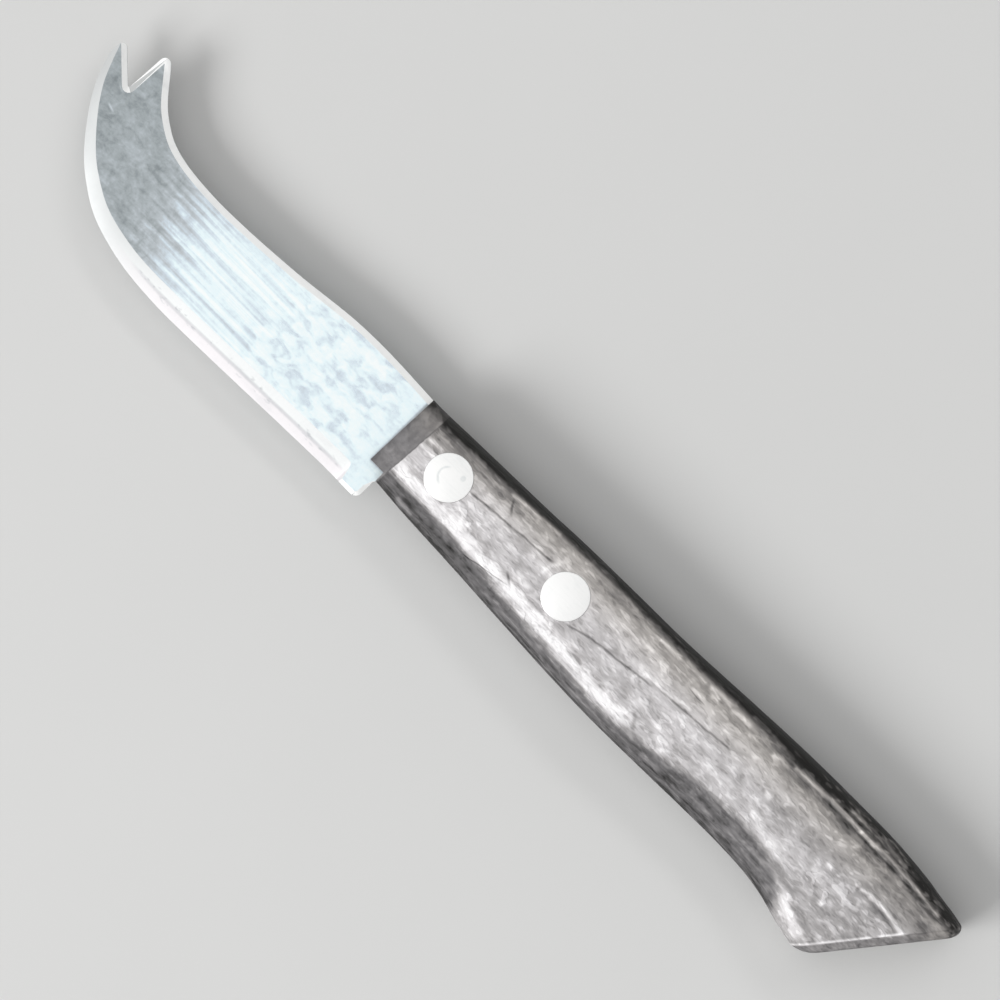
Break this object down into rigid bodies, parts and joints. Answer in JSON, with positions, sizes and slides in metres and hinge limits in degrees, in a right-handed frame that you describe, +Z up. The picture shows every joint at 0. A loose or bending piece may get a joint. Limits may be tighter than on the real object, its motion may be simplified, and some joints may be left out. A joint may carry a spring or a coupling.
{
  "type": "cheese knife",
  "caption": "Cheese knife with an upturned forked tip and a ground steel blade, whose half tang is riveted into a sawn wooden handle with a flared, raked butt.",
  "frame": {"origin": "on the handle's lower flat face, midway between the two rivets", "axes": "+X along the rivet line from the blade's tip to the butt, +Y from the cutting edge to the spine, +Z up, with the knife lying on its side"},
  "size_m": [0.1957, 0.0291, 0.013],
  "materials": {
    "blade_steel": "lengthwise brushed faces, ground bevel, greyer towards the tip",
    "handle_wood": "dark weathered wood, worn gloss, fine grain cracks",
    "rivet_metal": "bright, flush ground"
  },
  "bodies": {
    "root": {"blade": "blade_steel", "handle": "handle_wood", "front_rivet_tube": "rivet_metal", "front_rivet_pin": "rivet_metal", "rear_rivet_tube": "rivet_metal", "rear_rivet_pin": "rivet_metal"}
  },
  "joints": []
}
